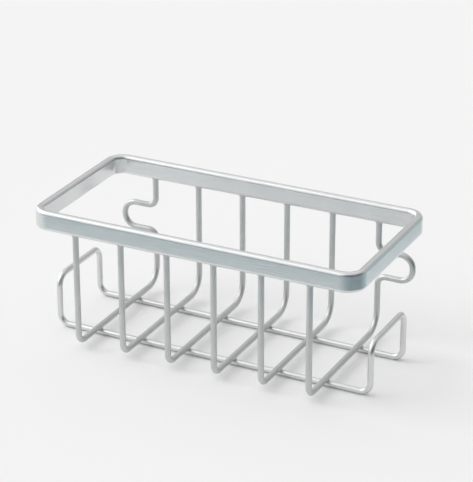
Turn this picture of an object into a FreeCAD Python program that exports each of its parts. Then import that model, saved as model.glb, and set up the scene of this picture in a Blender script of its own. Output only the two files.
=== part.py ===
import FreeCAD, Part
import os
import Sketcher
from FreeCAD import Vector

# Wire sponge holder. A flat-bar rim stands on six bent cross wires, and the cross wires stand on one
# closed base wire: two runners whose ends turn up as end guards. Every joint is a resistance weld.
# X runs along the length, Y from the front to the back, Z up. The origin is under the middle, on the
# surface that the runners stand on.

doc = FreeCAD.newDocument("sponge_holder")

# Driving sizes in millimetres, each written once.
driving_sizes = {
    "rim_length": 175.0,
    "rim_depth": 85.0,
    "overall_height": 72.3,
    "rim_corner_radius": 9.5,
    "bar_height": 10.3,
    "bar_thickness": 4.0,
    "bar_edge_radius": 1.9,
    "wire_diameter": 3.0,
    "end_wire_inset": 25.0,
    "front_bend_radius": 5.0,
    "back_bend_radius": 10.0,
    "weld_set_down": 0.2,
    "loop_drop": 15.3,
    "loop_height": 13.8,
    "loop_reach": 18.4,
    "loop_bend_radius": 6.4,
    "loop_entry_radius": 4.5,
    "runner_spacing": 40.0,
    "guard_inset": 2.25,
    "guard_height": 28.8,
    "guard_foot_radius": 5.0,
    "guard_top_radius": 6.0,
    "end_cope": 1.0,
    "bead_radius": 0.5,
    "flash_width": 0.5,
    "flash_height": 1.0,
}

# The cross wires from left to right. The end ones carry the loops.
wire_names = [
    "left_end_wire", "cross_wire_2", "cross_wire_3",
    "cross_wire_4", "cross_wire_5", "right_end_wire",
]

# Sizes that follow from the driving ones. An axis is a place of a wire's centre line.
derived_sizes = {
    "wire_radius": "wire_diameter / 2",
    "rim_right": "rim_length / 2",
    "rim_left": "-rim_right",
    "rim_back": "rim_depth / 2",
    "rim_front": "-rim_back",
    "inner_right": "rim_right - bar_thickness",
    "inner_left": "-inner_right",
    "inner_back": "rim_back - bar_thickness",
    "inner_front": "-inner_back",
    "inner_corner_radius": "rim_corner_radius - bar_thickness",
    "rim_underside": "overall_height - bar_height",
    "wire_pitch": f"(rim_length - 2 * end_wire_inset) / {len(wire_names) - 1}",
    "upright_axis": "0",
    "upright_top": "rim_underside + end_cope",
    "back_axis": "rim_back - bar_thickness / 2",
    "front_axis": "-back_axis",
    "runner_axis": "wire_radius",
    "floor_axis": "runner_axis + wire_diameter - weld_set_down",
    "upper_loop_axis": "rim_underside - loop_drop",
    "lower_loop_axis": "upper_loop_axis - loop_height",
    "loop_start": "(lower_loop_axis - loop_entry_radius + floor_axis + back_bend_radius) / 2",
    "right_loop_axis": "loop_reach",
    "left_loop_axis": "-loop_reach",
    "back_runner": "runner_spacing / 2",
    "front_runner": "-back_runner",
    "right_guard": "rim_right - guard_inset",
    "left_guard": "-right_guard",
    "guard_axis": "guard_height - wire_radius",
    "guard_start": "(runner_axis + guard_foot_radius + guard_axis - guard_top_radius) / 2",
    "flash_base": "(runner_axis + floor_axis - flash_height) / 2",
}

sheet = doc.addObject("Spreadsheet::Sheet", "sizes")
cells = {alias: str(value) for alias, value in driving_sizes.items()}
cells.update({alias: f"={formula}" for alias, formula in derived_sizes.items()})
for row, (alias, content) in enumerate(cells.items(), start=1):
    sheet.set(f"A{row}", alias)
    sheet.set(f"B{row}", content)
    sheet.setAlias(f"B{row}", alias)
doc.recompute()


def size(alias):
    return float(sheet.get(alias))


def new_body(name):
    body = doc.addObject("PartDesign::Body", name)
    body.Label = name
    return body


def new_sketch(body, name, role, offset=None):
    """A sketch on one of the body's origin planes, moved along that plane's normal to a sheet value."""
    sketch = body.newObject("Sketcher::SketchObject", name)
    plane = next(feature for feature in body.Origin.OriginFeatures if feature.Role == role)
    sketch.AttachmentSupport = [(plane, "")]
    sketch.MapMode = "FlatFace"
    if offset:
        sketch.setExpression("AttachmentOffset.Base.z", f"sizes.{offset}")
    return sketch


# Which point of a sketch element a constraint holds.
START, END, CENTRE = range(1, 4)


def bind(sketch, alias, kind, *places):
    """A constraint whose value follows the sheet."""
    index = sketch.addConstraint(Sketcher.Constraint(kind, *places, size(alias)))
    sketch.setExpression(f"Constraints[{index}]", f"sizes.{alias}")


def crossing(first, second):
    """Where an upright leg and a level leg would meet without a bend."""
    upright, level = (first, second) if first[0] == "up" else (second, first)
    return Vector(size(upright[1]), size(level[1]), 0)


def leg_end(leg, stop):
    if leg[0] == "up":
        return Vector(size(leg[1]), size(stop), 0)
    return Vector(size(stop), size(leg[1]), 0)


def bent_line(sketch, legs, bends, ends=None):
    """Upright and level legs joined by tangent bends: an open line that stops at ends, or a closed one.

    A leg is ("up", alias) at that place across the sketch, or ("level", alias) at that height. Each bend is
    the alias of the radius between a leg and the next one.
    """
    after = legs[1:] + legs[:1]
    corners = [crossing(leg, following) for leg, following in zip(legs, after)][:len(bends)]
    if ends:
        knots = [leg_end(legs[0], ends[0])] + corners + [leg_end(legs[-1], ends[1])]
    else:
        knots = corners[-1:] + corners
    ways = [(far - near).normalize() for near, far in zip(knots, knots[1:])]
    radii = [size(bend) for bend in bends]

    lines = []
    for number, leg in enumerate(legs):
        cut_before = radii[number - 1] if number or not ends else 0
        cut_after = radii[number] if number < len(radii) else 0
        near = knots[number] + ways[number] * cut_before
        far = knots[number + 1] - ways[number] * cut_after
        line = sketch.addGeometry(Part.LineSegment(near, far))
        upright = leg[0] == "up"
        sketch.addConstraint(Sketcher.Constraint("Vertical" if upright else "Horizontal", line))
        bind(sketch, leg[1], "DistanceX" if upright else "DistanceY", line, START)
        lines.append(line)

    for number, corner in enumerate(corners):
        following = (number + 1) % len(legs)
        near = corner - ways[number] * radii[number]
        far = corner + ways[following] * radii[number]
        centre = near + far - corner
        middle = centre + (corner - centre).normalize() * radii[number]
        bend = sketch.addGeometry(Part.Arc(near, middle, far))
        turns_left = ways[number].cross(ways[following]).z > 0
        head, tail = (START, END) if turns_left else (END, START)
        sketch.addConstraint(Sketcher.Constraint("Tangent", lines[number], END, bend, head))
        sketch.addConstraint(Sketcher.Constraint("Tangent", bend, tail, lines[following], START))
        bind(sketch, bends[number], "Radius", bend)

    if ends:
        bind(sketch, ends[0], "DistanceY" if legs[0][0] == "up" else "DistanceX", lines[0], START)
        bind(sketch, ends[1], "DistanceY" if legs[-1][0] == "up" else "DistanceX", lines[-1], END)


def bent_wire(body, name, start, path_plane, path_offset, legs, bends, ends):
    """A round wire along a bent line whose first leg stands upright at start, a place (x, y) in plan."""
    path = new_sketch(body, f"{name}_path", path_plane, path_offset)
    bent_line(path, legs, bends, ends)
    section = new_sketch(body, f"{name}_section", "XY_Plane", ends[0])
    centre = Vector(size(start[0]), size(start[1]), 0)
    circle = section.addGeometry(Part.Circle(centre, Vector(0, 0, 1), size("wire_radius")))
    bind(section, "wire_diameter", "Diameter", circle)
    bind(section, start[0], "DistanceX", circle, CENTRE)
    bind(section, start[1], "DistanceY", circle, CENTRE)
    doc.recompute()
    pipe = body.newObject("PartDesign::AdditivePipe", name)
    pipe.Profile = section
    pipe.Spine = path
    doc.recompute()


def cut_away(name, base, tool):
    """The base where the tool leaves it, so that the two meet face to face."""
    cut = doc.addObject("Part::Cut", name)
    cut.Base = base
    cut.Tool = tool
    cut.Label = name
    doc.recompute()
    return cut


def gather(name, members):
    group = doc.addObject("Part::Compound", name)
    group.Links = members
    doc.recompute()
    return group


# The rim: a rolled flat bar on edge, bent into a rounded rectangle, its edges rounded by the rolling.
rim = new_body("rim")
rim_plan = new_sketch(rim, "rim_plan", "XY_Plane", "rim_underside")
bent_line(
    rim_plan,
    [("level", "rim_front"), ("up", "rim_right"), ("level", "rim_back"), ("up", "rim_left")],
    ["rim_corner_radius"] * 4,
)
bent_line(
    rim_plan,
    [("level", "inner_front"), ("up", "inner_right"), ("level", "inner_back"), ("up", "inner_left")],
    ["inner_corner_radius"] * 4,
)
bar = rim.newObject("PartDesign::Pad", "bar")
bar.Profile = rim_plan
bar.setExpression("Length", "sizes.bar_height")
doc.recompute()
FLATNESS = 1e-6
level_edges = [
    f"Edge{number}"
    for number, edge in enumerate(bar.Shape.Edges, start=1)
    if edge.BoundBox.ZLength < FLATNESS
]
rolled_edges = rim.newObject("PartDesign::Fillet", "rolled_edges")
rolled_edges.Base = (bar, level_edges)
rolled_edges.setExpression("Radius", "sizes.bar_edge_radius")
doc.recompute()

# The cross wires: a front upright, a level run that carries the sponge, and a back upright, both coped to
# the rim's underside. The end wires' back uprights bend out and back in a loop for a suction cup's neck.
loop_sides = {"left_end_wire": "left_loop_axis", "right_end_wire": "right_loop_axis"}
middle_number = (len(wire_names) - 1) / 2
wire_places = [f"sizes.wire_pitch * {number - middle_number}" for number in range(len(wire_names))]

cross_wires = []
for name, place in zip(wire_names, wire_places):
    blank = new_body(f"{name}_blank")
    bent_wire(
        blank, f"{name}_run", ("upright_axis", "front_axis"), "YZ_Plane", None,
        [("up", "front_axis"), ("level", "floor_axis"), ("up", "back_axis")],
        ["front_bend_radius", "back_bend_radius"],
        ["upright_top", "loop_start" if name in loop_sides else "upright_top"],
    )
    if name in loop_sides:
        bent_wire(
            blank, f"{name}_loop", ("upright_axis", "back_axis"), "XZ_Plane", "front_axis",
            [("up", "upright_axis"), ("level", "lower_loop_axis"), ("up", loop_sides[name]),
             ("level", "upper_loop_axis"), ("up", "upright_axis")],
            ["loop_entry_radius", "loop_bend_radius", "loop_bend_radius", "loop_entry_radius"],
            ["loop_start", "upright_top"],
        )
    blank.setExpression("Placement.Base.x", place)
    cross_wires.append(cut_away(name, blank, rim))
cross_wire_set = gather("cross_wire_set", cross_wires)

# The base wire: two runners whose ends turn up into a guard at each end, one closed wire. Each cross wire
# is set down a little into the runners by the weld.
base_blank = new_body("base_wire_blank")
for name, runner, plane_offset in (("front_runner", "front_runner", "back_runner"),
                                   ("back_runner", "back_runner", "front_runner")):
    bent_wire(
        base_blank, f"{name}_wire", ("left_guard", runner), "XZ_Plane", plane_offset,
        [("up", "left_guard"), ("level", "runner_axis"), ("up", "right_guard")],
        ["guard_foot_radius"] * 2,
        ["guard_start"] * 2,
    )
for guard in ("left_guard", "right_guard"):
    bent_wire(
        base_blank, f"{guard}_wire", (guard, "front_runner"), "YZ_Plane", guard,
        [("up", "front_runner"), ("level", "guard_axis"), ("up", "back_runner")],
        ["guard_top_radius"] * 2,
        ["guard_start"] * 2,
    )
base_wire = cut_away("base_wire", base_blank, cross_wire_set)

# The welds: the bead squeezed out round each wire end under the rim, and the flash at each crossing.
beads = []
flashes = []
for number, place in enumerate(wire_places, start=1):
    for side in ("front", "back"):
        bead = doc.addObject("Part::Torus", f"{side}_bead_{number}")
        bead.setExpression("Radius1", "sizes.wire_radius")
        bead.setExpression("Radius2", "sizes.bead_radius")
        bead.setExpression("Placement.Base.x", place)
        bead.setExpression("Placement.Base.y", f"sizes.{side}_axis")
        bead.setExpression("Placement.Base.z", "sizes.rim_underside")
        beads.append(bead)
        flash = doc.addObject("Part::Cylinder", f"{side}_flash_{number}")
        flash.setExpression("Radius", "sizes.wire_radius + sizes.flash_width")
        flash.setExpression("Height", "sizes.flash_height")
        flash.setExpression("Placement.Base.x", place)
        flash.setExpression("Placement.Base.y", f"sizes.{side}_runner")
        flash.setExpression("Placement.Base.z", "sizes.flash_base")
        flashes.append(flash)
welded_to_rim = gather("welded_to_rim", [rim] + cross_wires)
rim_welds = cut_away("rim_welds", gather("beads", beads), welded_to_rim)
welded_to_base = gather("welded_to_base", [base_wire] + cross_wires)
runner_welds = cut_away("runner_welds", gather("flashes", flashes), welded_to_base)

doc.recompute()
sub_parts = [rim] + cross_wires + [base_wire, rim_welds, runner_welds]

failed = [entry.Name for entry in doc.Objects if "Invalid" in entry.State or "Error" in entry.State]
for sub_part in sub_parts:
    if sub_part.Shape.isNull() or not sub_part.Shape.isValid():
        failed.append(sub_part.Label)
if failed:
    raise RuntimeError("objects that failed: " + ", ".join(failed))

os.makedirs("parts", exist_ok=True)
for sub_part in sub_parts:
    sub_part.Shape.exportStep(f"parts/{sub_part.Label}.step")
    box = sub_part.Shape.BoundBox
    print(sub_part.Label, len(sub_part.Shape.Solids), "solids", round(sub_part.Shape.Volume, 1), "mm3",
          [round(side, 2) for side in (box.XLength, box.YLength, box.ZLength)])
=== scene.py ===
import math
import random

import bmesh
import bpy
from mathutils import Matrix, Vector


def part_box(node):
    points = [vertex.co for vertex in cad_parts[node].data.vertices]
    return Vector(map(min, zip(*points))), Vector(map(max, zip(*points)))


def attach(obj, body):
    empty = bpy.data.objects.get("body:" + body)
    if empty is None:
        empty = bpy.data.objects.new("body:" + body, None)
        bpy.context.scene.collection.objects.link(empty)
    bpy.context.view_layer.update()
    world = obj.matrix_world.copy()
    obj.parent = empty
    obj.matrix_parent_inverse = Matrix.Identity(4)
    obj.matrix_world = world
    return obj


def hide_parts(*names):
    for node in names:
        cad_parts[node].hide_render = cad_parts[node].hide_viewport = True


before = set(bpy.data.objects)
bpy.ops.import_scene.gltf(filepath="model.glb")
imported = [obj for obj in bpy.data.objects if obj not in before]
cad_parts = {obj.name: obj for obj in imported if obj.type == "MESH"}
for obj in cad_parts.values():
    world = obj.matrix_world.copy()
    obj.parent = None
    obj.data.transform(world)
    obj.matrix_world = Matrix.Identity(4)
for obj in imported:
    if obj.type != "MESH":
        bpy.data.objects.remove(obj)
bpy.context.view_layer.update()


# The base wire: one closed length of round steel wire that the whole holder stands on, two runners whose
# ends turn up as end guards. It is drawn, bent in a jig, butt welded, then satin plated with the rest.
class Shade:
    """A value in a node tree. Operators between values, or with numbers, add the Math nodes."""

    # Where a Mix node has its sockets for colours.
    MIX_FACTOR, MIX_FIRST, MIX_SECOND, MIX_RESULT = 0, 6, 7, 2

    def __init__(self, tree, socket=None):
        self.tree = tree
        self.socket = socket

    def node(self, kind, sockets, output=0, **settings):
        """Adds a node: first its settings, then the values or links of its sockets. Gives one output."""
        made = self.tree.nodes.new(kind)
        for name, setting in settings.items():
            setattr(made, name, setting)
        for name, value in sockets.items():
            if isinstance(value, Shade):
                self.tree.links.new(value.socket, made.inputs[name])
            else:
                made.inputs[name].default_value = value
        return Shade(self.tree, made.outputs[output] if made.outputs else None)

    def maths(self, operation, *values):
        return self.node("ShaderNodeMath", dict(enumerate(values)), operation=operation)

    def __add__(self, other):
        return self.maths("ADD", self, other)

    def __sub__(self, other):
        return self.maths("SUBTRACT", self, other)

    def __rsub__(self, other):
        return self.maths("SUBTRACT", other, self)

    def __mul__(self, other):
        return self.maths("MULTIPLY", self, other)

    __radd__ = __add__
    __rmul__ = __mul__

    def rising(self, low, high):
        """Nought below the low value, one above the high value, smooth between them."""
        return self.node(
            "ShaderNodeMapRange", {"Value": self, "From Min": low, "From Max": high},
            interpolation_type="SMOOTHSTEP",
        )

    def blended(self, first, second):
        """The first colour where this value is nought, the second where it is one."""
        return self.node(
            "ShaderNodeMix", {self.MIX_FACTOR: self, self.MIX_FIRST: first, self.MIX_SECOND: second},
            output=self.MIX_RESULT, data_type="RGBA",
        )


def grain(where, size, detail, stretch=(1, 1, 1)):
    """Noise whose spots are about one size across, longer along an axis that has a larger stretch."""
    scaled = where.node(
        "ShaderNodeVectorMath", {0: where, 1: [1 / (size * longer) for longer in stretch]},
        operation="MULTIPLY",
    )
    return where.node("ShaderNodeTexNoise", {"Vector": scaled, "Scale": 1.0, "Detail": detail})


MM = 0.001
CLOUD_SIZE = 9 * MM
CLOUD_DETAIL = 3.0
CLOUD_EDGES = (0.3, 0.7)
CLOUD_ROUGHENS = 0.02
GRAIN_SIZE = 0.22 * MM
GRAIN_DETAIL = 2.0
GRAIN_HEIGHT = 0.001 * MM
LINE_DETAIL = 1.0
LINE_STRETCH = 40
LINES_ROUGHEN = 0.06
NOISE_MIDDLE = 0.5


def satin_plate(name, light, dark, roughness, drawn=(1, 1, 1), line_height=GRAIN_HEIGHT):
    """Satin plated steel: a soft cloudy tone, fine grain, and faint lines along the way it was drawn."""
    material = bpy.data.materials.new(name)
    material.use_nodes = True
    tree = material.node_tree
    tree.nodes.clear()
    where = Shade(tree).node("ShaderNodeTexCoord", {}, output="Object")
    cloud = grain(where, CLOUD_SIZE, CLOUD_DETAIL).rising(*CLOUD_EDGES)
    fine = grain(where, GRAIN_SIZE, GRAIN_DETAIL)
    lines = grain(where, GRAIN_SIZE, LINE_DETAIL, stretch=drawn)
    relief = GRAIN_HEIGHT * fine + line_height * lines
    bump = where.node("ShaderNodeBump", {"Height": relief, "Distance": 1.0, "Strength": 1.0})
    surface = where.node("ShaderNodeBsdfPrincipled", {
        "Base Color": cloud.blended(dark, light),
        "Metallic": 1.0,
        "Roughness": roughness + CLOUD_ROUGHENS * cloud + LINES_ROUGHEN * (lines - NOISE_MIDDLE),
        "Normal": bump,
    })
    where.node("ShaderNodeOutputMaterial", {"Surface": surface})
    return material


def finish_node(node, material):
    """Gives a solid of the frame its finish."""
    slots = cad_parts[node].data.materials
    slots.clear()
    slots.append(material)


BASE_LIGHT = (0.740, 0.746, 0.746, 1)
BASE_DARK = (0.700, 0.706, 0.706, 1)
BASE_ROUGHNESS = 0.28

base_wire_plate = satin_plate(
    "base_wire_plate", BASE_LIGHT, BASE_DARK, BASE_ROUGHNESS, drawn=(LINE_STRETCH, 1, 1),
)
finish_node("base_wire", base_wire_plate)


# The cross wires: six lengths of the same drawn wire that carry the sponge, each bent to a front upright, a
# level run and a back upright, and welded across the runners. The two at the ends have a loop in the back
# upright for a suction cup's neck. Plated with the rest, they are a little duller than the base wire.
WIRE_LIGHT = (0.640, 0.648, 0.648, 1)
WIRE_DARK = (0.600, 0.608, 0.608, 1)
WIRE_ROUGHNESS = 0.46

cross_wires = [
    "left_end_wire", "cross_wire_2", "cross_wire_3", "cross_wire_4", "cross_wire_5", "right_end_wire",
]
cross_wire_plate = satin_plate(
    "cross_wire_plate", WIRE_LIGHT, WIRE_DARK, WIRE_ROUGHNESS, drawn=(1, 1, LINE_STRETCH),
)
for wire in cross_wires:
    finish_node(wire, cross_wire_plate)


# The runner welds: the flash that the electrodes squeeze out where a cross wire is pressed into a runner.
# It is the wires' own steel, a small uneven lip all round the joint, plated over.
RING_STEPS = 40
LIP_STEPS = 6
LUMPS = {2: 0.07, 3: 0.06, 5: 0.03}
FLASH_RADIUS = 1.22 * MM
FLASH_SPREAD = 0.22
FLASH_BULGE = 0.12
FLASH_ROOT = 0.5
WELD_ROUGHNESS = 0.45

wire_low, wire_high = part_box("cross_wire_2")
base_low, base_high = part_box("base_wire")
wire_radius = (wire_high.x - wire_low.x) / 2
run_axis = wire_low.z + wire_radius
runner_top = base_low.z + 2 * wire_radius
runner_places = (base_low.y + wire_radius, base_high.y - wire_radius)
wire_places = [sum(corner.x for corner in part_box(wire)) / 2 for wire in cross_wires[1:-1]]
wire_places.insert(0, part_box("left_end_wire")[1].x - wire_radius)
wire_places.append(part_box("right_end_wire")[0].x + wire_radius)

weld_plate = satin_plate("weld_plate", WIRE_LIGHT, WIRE_DARK, WELD_ROUGHNESS)


def uneven(chance):
    """How far a weld's edge swells and shrinks round the joint: a few waves with chance phases."""
    phases = {waves: chance.uniform(0, 2 * math.pi) for waves in LUMPS}
    return lambda turn: 1 + sum(
        height * math.sin(waves * turn + phases[waves]) for waves, height in LUMPS.items()
    )


def lip(start, end, bulge):
    """Points (radius, height) on a weld's skin from piece to piece, bulging by a share of its length."""
    across = end - start
    middle = (start + end) / 2 + bulge * Vector((across.y, -across.x))
    shares = [step / (LIP_STEPS - 1) for step in range(LIP_STEPS)]
    return [
        (1 - share) ** 2 * start + 2 * share * (1 - share) * middle + share ** 2 * end
        for share in shares
    ]


def weld_rings(name, centres, section, seed):
    """Rings of weld metal round their centres. The section gives (radius, height) points at a turn."""
    chance = random.Random(seed)
    steel = bmesh.new()
    for centre in centres:
        swell = uneven(chance)
        rows = []
        for step in range(RING_STEPS):
            turn = 2 * math.pi * step / RING_STEPS
            way = Vector((math.cos(turn), math.sin(turn), 0))
            rows.append([
                steel.verts.new(centre + point.x * way + Vector((0, 0, point.y)))
                for point in section(turn, swell(turn))
            ])
        for row, following in zip(rows, rows[1:] + rows[:1]):
            for number in range(len(row)):
                before = number - 1
                steel.faces.new((row[before], row[number], following[number], following[before]))
    bmesh.ops.recalc_face_normals(steel, faces=steel.faces)
    mesh = bpy.data.meshes.new(name)
    steel.to_mesh(mesh)
    steel.free()
    mesh.shade_smooth()
    mesh.materials.append(weld_plate)
    piece = bpy.data.objects.new(name, mesh)
    bpy.context.scene.collection.objects.link(piece)
    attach(piece, "root")
    return piece


def flash_section(turn, swell):
    """From the runner's top to the cross wire's underside, and back through the steel of both."""
    along_runner = math.cos(turn) ** 2
    low_radius = FLASH_RADIUS * swell * (1 + FLASH_SPREAD * along_runner)
    high_radius = FLASH_RADIUS * swell * (1 + FLASH_SPREAD * (1 - along_runner))
    low = math.sqrt(wire_radius ** 2 - (low_radius * math.sin(turn)) ** 2) - wire_radius
    high = run_axis - runner_top - math.sqrt(wire_radius ** 2 - (high_radius * math.cos(turn)) ** 2)
    outside = lip(Vector((low_radius, low)), Vector((high_radius, high)), FLASH_BULGE)
    root = FLASH_ROOT * FLASH_RADIUS
    return [Vector((root, -FLASH_ROOT * wire_radius)), *outside, Vector((root, FLASH_ROOT * wire_radius))]


crossings = [Vector((x, y, runner_top)) for x in wire_places for y in runner_places]
runner_welds = weld_rings("runner_weld_flash", crossings, flash_section, seed=1)
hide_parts("runner_welds")


# The rim: a flat steel bar rolled with round edges, brushed along its length, bent into a rounded rectangle
# and butt welded, then plated. It holds the wires' ends together and stiffens the mouth of the holder.
BAR_LIGHT = (0.740, 0.754, 0.757, 1)
BAR_DARK = (0.720, 0.734, 0.737, 1)
BAR_ROUGHNESS = 0.22
BAR_LINES = 0.035 * MM

rim_plate = satin_plate(
    "rim_plate", BAR_LIGHT, BAR_DARK, BAR_ROUGHNESS, drawn=(LINE_STRETCH, LINE_STRETCH, 1),
    line_height=BAR_LINES,
)
finish_node("rim", rim_plate)


# The rim welds: each wire's end is pressed up against the rim's underside and welded by resistance, which
# leaves a low bead of steel round the wire, plated over. An upright stands under the middle of the bar.
BEAD_LEG = 0.46 * MM
BEAD_DEPTH = 0.3 * MM
BEAD_BULGE = 0.2
BAR_EDGE_RADIUS = 1.9 * MM

rim_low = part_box("rim")[0]
upright_places = (wire_low.y + wire_radius, wire_high.y - wire_radius)
bar_thickness = 2 * (upright_places[0] - rim_low.y)


def bar_slope(across):
    """How steeply the bar's rolled edge climbs at a place across its underside."""
    past_flat = abs(across) - (bar_thickness / 2 - BAR_EDGE_RADIUS)
    return math.asin(min(max(past_flat / BAR_EDGE_RADIUS, 0), 1))


def bar_rise(across):
    """How far the bar's rolled edge has climbed at a place across its underside."""
    return BAR_EDGE_RADIUS * (1 - math.cos(bar_slope(across)))


def bead_section(turn, swell):
    """From the wire's side to the bar's underside, and back through the steel of both."""
    leg = BEAD_LEG * swell
    lean = math.sin(turn)
    bar_radius = wire_radius + leg * math.cos(bar_slope(wire_radius * lean))
    corner = bar_rise(wire_radius * lean)
    far = bar_rise(bar_radius * lean)
    outside = lip(Vector((wire_radius, corner - leg)), Vector((bar_radius, far)), BEAD_BULGE)
    root = wire_radius - BEAD_DEPTH
    return [
        Vector((root, corner - leg)),
        *outside,
        Vector((bar_radius, far + BEAD_DEPTH)),
        Vector((root, corner + BEAD_DEPTH)),
    ]


wire_ends = [Vector((x, y, rim_low.z)) for x in wire_places for y in upright_places]
rim_welds = weld_rings("rim_weld_beads", wire_ends, bead_section, seed=2)
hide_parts("rim_welds")


# The floor: a plain pale table top, painted matt, so that the wires' shadows lie soft on it. Its front and
# right edges are just outside the picture, so the metal that faces them mirrors the dimmer room past them.
TABLE_CORNERS = ((-2.0, -0.167), (0.050, -0.167), (0.172, -0.076), (-0.22, 3.0), (-2.0, 3.0))
TABLE_THICKNESS = 0.03
TABLE_PALE = (0.958, 0.958, 0.956, 1)

slab = bmesh.new()
top = [slab.verts.new((x, y, 0)) for x, y in TABLE_CORNERS]
underside = [slab.verts.new((x, y, -TABLE_THICKNESS)) for x, y in TABLE_CORNERS]
slab.faces.new(top)
slab.faces.new(underside)
for number in range(len(top)):
    slab.faces.new((top[number - 1], top[number], underside[number], underside[number - 1]))
bmesh.ops.recalc_face_normals(slab, faces=slab.faces)
floor_mesh = bpy.data.meshes.new("floor")
slab.to_mesh(floor_mesh)
slab.free()
floor_paint = bpy.data.materials.new("floor_paint")
floor_paint.use_nodes = True
floor_paint.node_tree.nodes.clear()
floor_surface = Shade(floor_paint.node_tree).node("ShaderNodeBsdfDiffuse", {"Color": TABLE_PALE})
floor_surface.node("ShaderNodeOutputMaterial", {"Surface": floor_surface})
floor_mesh.materials.append(floor_paint)
floor = bpy.data.objects.new("floor", floor_mesh)
bpy.context.scene.collection.objects.link(floor)


# The light: a pale room with a window and a small lamp on the left, towards the viewer, a wide low window
# at the left end, a white ceiling, pale walls at the back and nothing bright on the right. Below the height
# of the table the room is a dimmer blue grey, which the sides of the rim mirror.
ROOM_PALE = (1, 1, 1, 1)
ROOM_LOW = (0.355, 0.455, 0.485, 1)
HIGH_LEVEL = 0.32
LOW_LEVEL = 1

world = bpy.data.worlds.new("room")
bpy.context.scene.world = world
world.use_nodes = True
world.node_tree.nodes.clear()
sight = Shade(world.node_tree).node("ShaderNodeTexCoord", {}, output="Generated")


def towards(azimuth, elevation):
    """The way to a place in the room, with azimuth from the front to the right."""
    turn, rise = math.radians(azimuth), math.radians(elevation)
    return Vector((math.sin(turn) * math.cos(rise), -math.cos(turn) * math.cos(rise), math.sin(rise)))


def glow(strength, azimuth, elevation, whole, none):
    """A soft round patch of the room: whole within one angle of its middle, none past another."""
    facing = sight.node(
        "ShaderNodeVectorMath", {0: sight, 1: towards(azimuth, elevation)}, output="Value",
        operation="DOT_PRODUCT",
    )
    return strength * facing.rising(math.cos(math.radians(none)), math.cos(math.radians(whole)))


above_table = glow(strength=1, azimuth=0, elevation=90, whole=88, none=92)

window = glow(strength=0.57, azimuth=-40, elevation=42, whole=14, none=38)
end_window = glow(strength=1.4, azimuth=-88, elevation=18, whole=15, none=45)
lamp = glow(strength=2.6, azimuth=-66, elevation=42, whole=4, none=15)
front_wall = glow(strength=0.45, azimuth=-28, elevation=4, whole=10, none=30)
ceiling = glow(strength=0.53, azimuth=0, elevation=90, whole=20, none=70)
back_left_wall = glow(strength=0.3, azimuth=-140, elevation=22, whole=15, none=60)
back_right_wall = glow(strength=0.21, azimuth=150, elevation=8, whole=15, none=45)
dim_right_wall = glow(strength=-0.2, azimuth=60, elevation=10, whole=25, none=75)
walls = front_wall + back_left_wall + back_right_wall + dim_right_wall
high_light = HIGH_LEVEL + window + end_window + lamp + ceiling + walls

dim_low_right = glow(strength=-0.27, azimuth=70, elevation=-20, whole=15, none=60)
low_back = glow(strength=0.2, azimuth=153, elevation=-24, whole=15, none=45)
low_left = glow(strength=0.5, azimuth=-75, elevation=-12, whole=15, none=45)
low_light = LOW_LEVEL + dim_low_right + low_back + low_left

room_light = sight.node("ShaderNodeBackground", {
    "Color": above_table.blended(ROOM_LOW, ROOM_PALE),
    "Strength": above_table * high_light + (1 - above_table) * low_light,
})
room_light.node("ShaderNodeOutputWorld", {"Surface": room_light})


# The camera: a long lens that looks down on the holder from the front, a little to the right. Its axis and
# its focal length are in pixels of the picture, and it is aimed near the middle of the holder.
IMAGE_SIZE = (473, 482)
AXIS_IN_IMAGE = (244.4, 239.3)
FOCAL_PIXELS = 2127.5
CAMERA_AZIMUTH = 26.43
CAMERA_ELEVATION = 24.14
CAMERA_DISTANCE = 1.0621
AIM = Vector((-0.00244, 0.02233, 0.04705))

away = towards(CAMERA_AZIMUTH, CAMERA_ELEVATION)
camera_data = bpy.data.cameras.new("camera")
longer_side = max(IMAGE_SIZE)
camera_data.lens = FOCAL_PIXELS / longer_side * camera_data.sensor_width
camera_data.shift_x = (IMAGE_SIZE[0] / 2 - AXIS_IN_IMAGE[0]) / longer_side
camera_data.shift_y = (AXIS_IN_IMAGE[1] - IMAGE_SIZE[1] / 2) / longer_side
camera = bpy.data.objects.new("camera", camera_data)
camera.location = AIM + away * CAMERA_DISTANCE
camera.rotation_euler = away.to_track_quat("Z", "Y").to_euler()
bpy.context.scene.collection.objects.link(camera)
bpy.context.scene.camera = camera
bpy.context.scene.view_settings.view_transform = "Standard"
